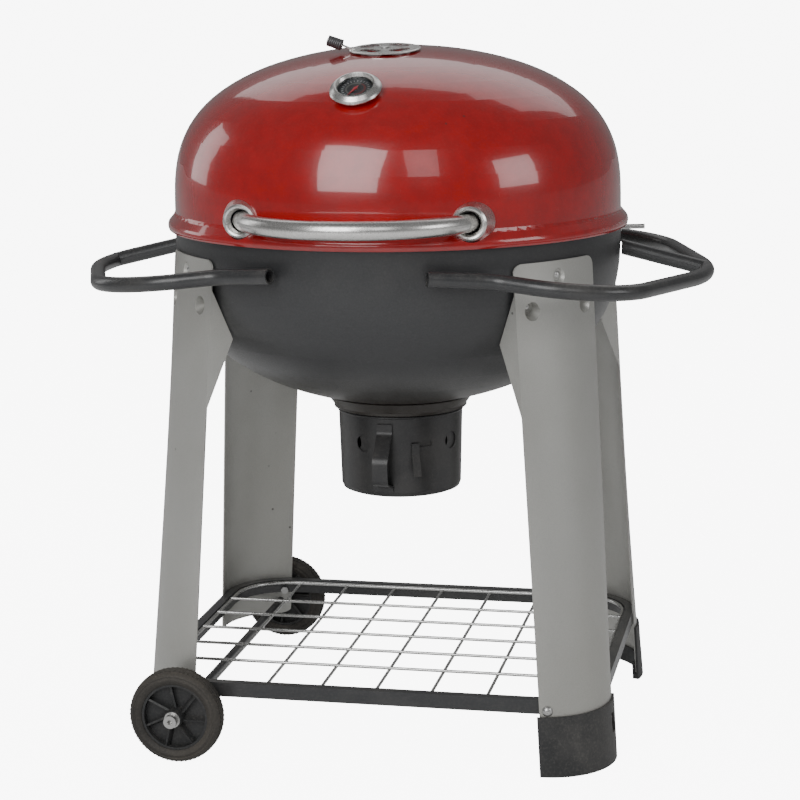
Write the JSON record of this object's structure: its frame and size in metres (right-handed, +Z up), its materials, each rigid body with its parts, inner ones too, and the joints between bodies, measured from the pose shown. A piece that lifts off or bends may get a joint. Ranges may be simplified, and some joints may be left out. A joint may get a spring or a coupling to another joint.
{
  "type": "kettle charcoal grill",
  "caption": "Round enamelled bowl with a hinged domed lid on sheet-metal legs, with a wire shelf, wheels, feet, side handles and a drop-down ash can.",
  "frame": {"origin": "on the floor under the middle of the whole grill", "axes": "+Z up, -Y to the front where the lid handle is, +X to the right where the feet are"},
  "size_m": [0.799, 0.668, 0.8762],
  "materials": {
    "red_enamel": "gloss vitreous enamel",
    "black_enamel": "satin enamel",
    "silver_paint": "satin metallic paint",
    "black_tube": "gloss black powder coat",
    "stainless": "polished stainless steel",
    "zinc": "bright zinc plate",
    "ash_steel": "satin black paint",
    "bright_wire": "chrome-plated wire",
    "coal_bar": "plain steel bar",
    "black_moulding": "moulded",
    "tyre": "ribbed",
    "knob_coil": "dark ribbed wire",
    "dial_face": "printed dial",
    "dial_glass": "clear",
    "needle_paint": "painted"
  },
  "bodies": {
    "stand": {"leg_front_left": "silver_paint", "leg_front_right": "silver_paint", "leg_back_left": "silver_paint", "leg_back_right": "silver_paint", "leg_screws": "zinc", "foot_front_right": "black_moulding", "foot_back_right": "black_moulding", "foot_screws": "zinc", "shelf_frame": "black_tube", "shelf_wires": "bright_wire", "shelf_screws": "zinc", "axle": "black_tube", "axle_caps": "zinc", "side_handle_right": "black_tube", "side_handle_left": "black_tube", "side_handle_posts": "black_tube", "side_handle_screws": "zinc", "tool_peg": "zinc", "hinge_bracket": "black_enamel", "hinge_pin": "zinc", "hinge_bracket_screws": "zinc", "bowl": "black_enamel", "grate_tabs": "zinc", "coal_grate_tabs": "zinc", "ash_collar": "black_enamel"},
    "lid": {"lid_shell": "red_enamel", "lid_handle": "stainless", "lid_handle_cups": "stainless", "lid_handle_bolts": "zinc", "hinge_leaf": "black_enamel", "hinge_leaf_screws": "zinc", "thermometer_bezel": "stainless", "thermometer_dial": "dial_face", "thermometer_glass": "dial_glass", "thermometer_stem": "stainless", "damper_rivet": "zinc"},
    "needle": {"thermometer_needle": "needle_paint"},
    "top_damper": {"damper_disc": "stainless", "damper_lever": "stainless", "damper_knob": "knob_coil"},
    "food_grate": {"cooking_grate": "bright_wire"},
    "coal_grate": {"charcoal_grate": "coal_bar"},
    "can": {"ash_can": "ash_steel", "ash_can_handle": "ash_steel"},
    "air_damper": {"air_ring": "ash_steel", "air_ring_lever": "ash_steel"},
    "wheel_front": {"tyre_front": "tyre", "hub_front": "black_moulding"},
    "wheel_back": {"tyre_back": "tyre", "hub_back": "black_moulding"}
  },
  "joints": [
    {"name": "lid_hinge", "type": "hinge", "parent": "stand", "child": "lid", "pos_m": [0, 0.326, 0.644], "axis": [-1, 0, 0], "range_deg": [0, 92]},
    {"name": "needle_turn", "type": "hinge", "parent": "lid", "child": "needle", "pos_m": [-0.00369, -0.19319, 0.81352], "axis": [0.0092, 0.5264, -0.8502], "range_deg": [0, 270]},
    {"name": "top_damper_turn", "type": "hinge", "parent": "lid", "child": "top_damper", "pos_m": [0, -0.047, 0.85836], "axis": [0, -0.1134, 0.9935], "range_deg": [-12, 33]},
    {"name": "food_grate_lift", "type": "slide", "parent": "stand", "child": "food_grate", "axis": [0, 0, 1], "range_m": [0, 0.05]},
    {"name": "coal_grate_lift", "type": "slide", "parent": "stand", "child": "coal_grate", "axis": [0, 0, 1], "range_m": [0, 0.05]},
    {"name": "can_drop", "type": "slide", "parent": "stand", "child": "can", "axis": [0, 0, -1], "range_m": [0, 0.12]},
    {"name": "air_damper_turn", "type": "hinge", "parent": "can", "child": "air_damper", "pos_m": [0, 0.018, 0.365], "axis": [0, 0, 1], "range_deg": [0, 14]},
    {"name": "wheel_front_roll", "type": "hinge", "parent": "stand", "child": "wheel_front", "pos_m": [-0.231, -0.245, 0.059], "axis": [0, 1, 0], "continuous": true},
    {"name": "wheel_back_roll", "type": "hinge", "parent": "stand", "child": "wheel_back", "pos_m": [-0.231, 0.281, 0.059], "axis": [0, 1, 0], "continuous": true}
  ]
}
